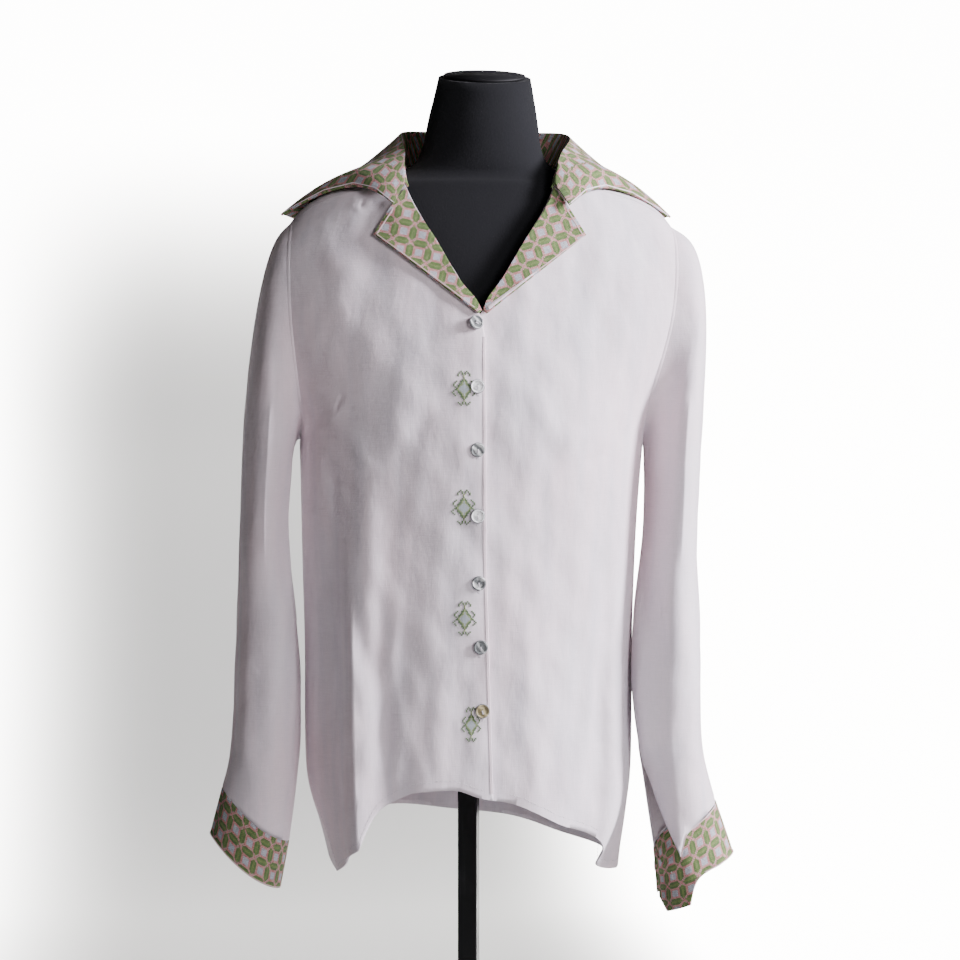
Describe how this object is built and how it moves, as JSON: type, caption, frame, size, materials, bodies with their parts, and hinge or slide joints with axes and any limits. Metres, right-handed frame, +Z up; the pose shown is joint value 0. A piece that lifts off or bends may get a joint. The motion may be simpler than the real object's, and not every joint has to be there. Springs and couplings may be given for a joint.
{
  "type": "long-sleeved linen shirt on a limbless dress form with stand",
  "caption": "Pale linen shirt with cross-stitched notched collar, lapels and turned-over cuffs, worn buttoned by a black limbless dress form on a square pole and plate.",
  "frame": {"origin": "centre of the base plate's underside, on the floor and under the pole", "axes": "+Z up, the shirt's buttoned front faces -Y, the wearer's left is at +X"},
  "size_m": [0.5466, 0.4114, 1.6114],
  "materials": {
    "linen": "matt",
    "stitched_cloth": "matt",
    "shell_button": "gloss",
    "form_cover": "matt",
    "black_paint": "satin"
  },
  "bodies": {
    "root": {"front_right": "linen", "front_left": "linen", "back": "linen", "yoke": "linen", "sleeve_right": "linen", "sleeve_left": "linen", "cuff_right": "stitched_cloth", "cuff_left": "stitched_cloth", "collar": "stitched_cloth", "lapel_right": "stitched_cloth", "lapel_left": "stitched_cloth", "button_1": "shell_button", "button_2": "shell_button", "button_3": "shell_button", "button_4": "shell_button", "button_5": "shell_button", "button_6": "shell_button", "button_7": "shell_button", "cuff_button_right": "shell_button", "cuff_button_left": "shell_button", "form_torso": "form_cover", "neck_cap": "black_paint", "flange": "black_paint", "pole": "black_paint", "base_plate": "black_paint"}
  },
  "joints": []
}
